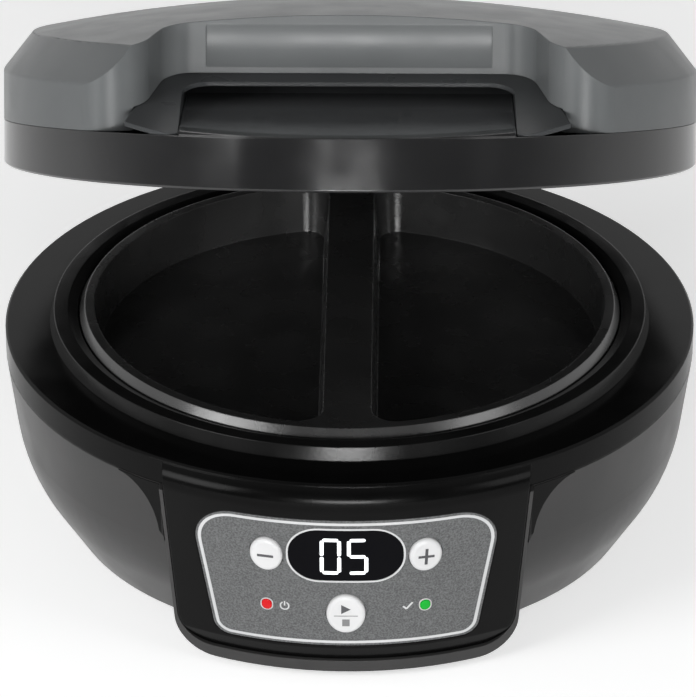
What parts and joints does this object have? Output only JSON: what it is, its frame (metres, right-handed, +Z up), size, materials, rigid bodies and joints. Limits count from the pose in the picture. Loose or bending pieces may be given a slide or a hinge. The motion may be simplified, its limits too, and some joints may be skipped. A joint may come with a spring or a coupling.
{
  "type": "electric omelette maker",
  "caption": "Round electric omelette maker with a hinged domed lid, half-moon wells, a display, push buttons and lamps on a front apron.",
  "frame": {"origin": "on the table plane, under the axis of the round base and its cooking plate", "axes": "+Z up; -Y is the front with the controls and the lid's grip; +X is to the right seen from the front"},
  "size_m": [0.259, 0.2987, 0.2206],
  "materials": {
    "board_green": "satin",
    "button_silver": "satin",
    "capacitor_yellow": "satin",
    "ceramic_white": "matte",
    "cover_black": "matte",
    "foot_rubber": "matte",
    "fuse_metal": "satin",
    "gloss_black": "gloss",
    "heater_tube": "satin",
    "housing_grey": "satin",
    "label_grey": "metallic, satin",
    "lamp_green": "translucent, lit",
    "lamp_red": "translucent, lit",
    "lid_grey": "satin",
    "pan_steel": "satin",
    "plate_coating": "non-stick coating, satin",
    "relay_black": "matte",
    "screw_steel": "zinc plated",
    "terminal_green": "matte",
    "trim_grey": "satin",
    "washer_plastic": "matte",
    "window_black": "gloss"
  },
  "bodies": {
    "base": {"board_screws": "screw_steel", "bottom_cover": "cover_black", "bracket_screws": "screw_steel", "capacitors": "capacitor_yellow", "control_board": "board_green", "control_label": "label_grey", "cord_inlet": "foot_rubber", "cover_screws": "screw_steel", "display_module": "relay_black", "display_window": "window_black", "friction_washers": "washer_plastic", "hinge_bracket": "cover_black", "hinge_pin": "screw_steel", "housing_screws": "screw_steel", "lower_cooking_plate": "plate_coating", "lower_heat_pan": "pan_steel", "lower_heater": "heater_tube", "lower_housing": "housing_grey", "pan_screws": "screw_steel", "pin_clip": "screw_steel", "plate_collar": "gloss_black", "plate_screws": "screw_steel", "power_board": "board_green", "power_board_screws": "screw_steel", "power_lamp_lens": "lamp_red", "ready_lamp_lens": "lamp_green", "relay": "relay_black", "rubber_feet": "foot_rubber", "tact_switches": "relay_black", "terminal_block": "terminal_green", "thermal_fuse": "fuse_metal", "thermostat": "ceramic_white", "upper_housing": "gloss_black"},
    "lid": {"lid_cover": "lid_grey", "lid_shell": "gloss_black", "handle_trim": "trim_grey", "upper_cooking_plate": "plate_coating", "upper_heater": "heater_tube", "upper_heat_pan": "pan_steel", "upper_thermal_fuse": "fuse_metal", "lid_screws": "screw_steel", "upper_plate_screws": "screw_steel", "upper_pan_screws": "screw_steel", "hinge_arm": "cover_black", "hinge_arm_screws": "screw_steel"},
    "minus_button": {"minus_button": "button_silver"},
    "plus_button": {"plus_button": "button_silver"},
    "start_button": {"start_button": "button_silver"}
  },
  "joints": [
    {"name": "lid_hinge", "type": "hinge", "parent": "base", "child": "lid", "pos_m": [0, 0.146, 0.064], "axis": [-1, 0, 0], "range_deg": [-21.5, 58.5]},
    {"name": "minus_press", "type": "slide", "parent": "base", "child": "minus_button", "axis": [0.2165, 0.9564, 0.1961], "range_m": [0, 0.0008], "stiffness_N_per_m": 900},
    {"name": "plus_press", "type": "slide", "parent": "base", "child": "plus_button", "axis": [-0.2165, 0.9564, 0.1961], "range_m": [0, 0.0008], "stiffness_N_per_m": 900},
    {"name": "start_press", "type": "slide", "parent": "base", "child": "start_button", "axis": [0, 0.9806, 0.1961], "range_m": [0, 0.0008], "stiffness_N_per_m": 900}
  ]
}
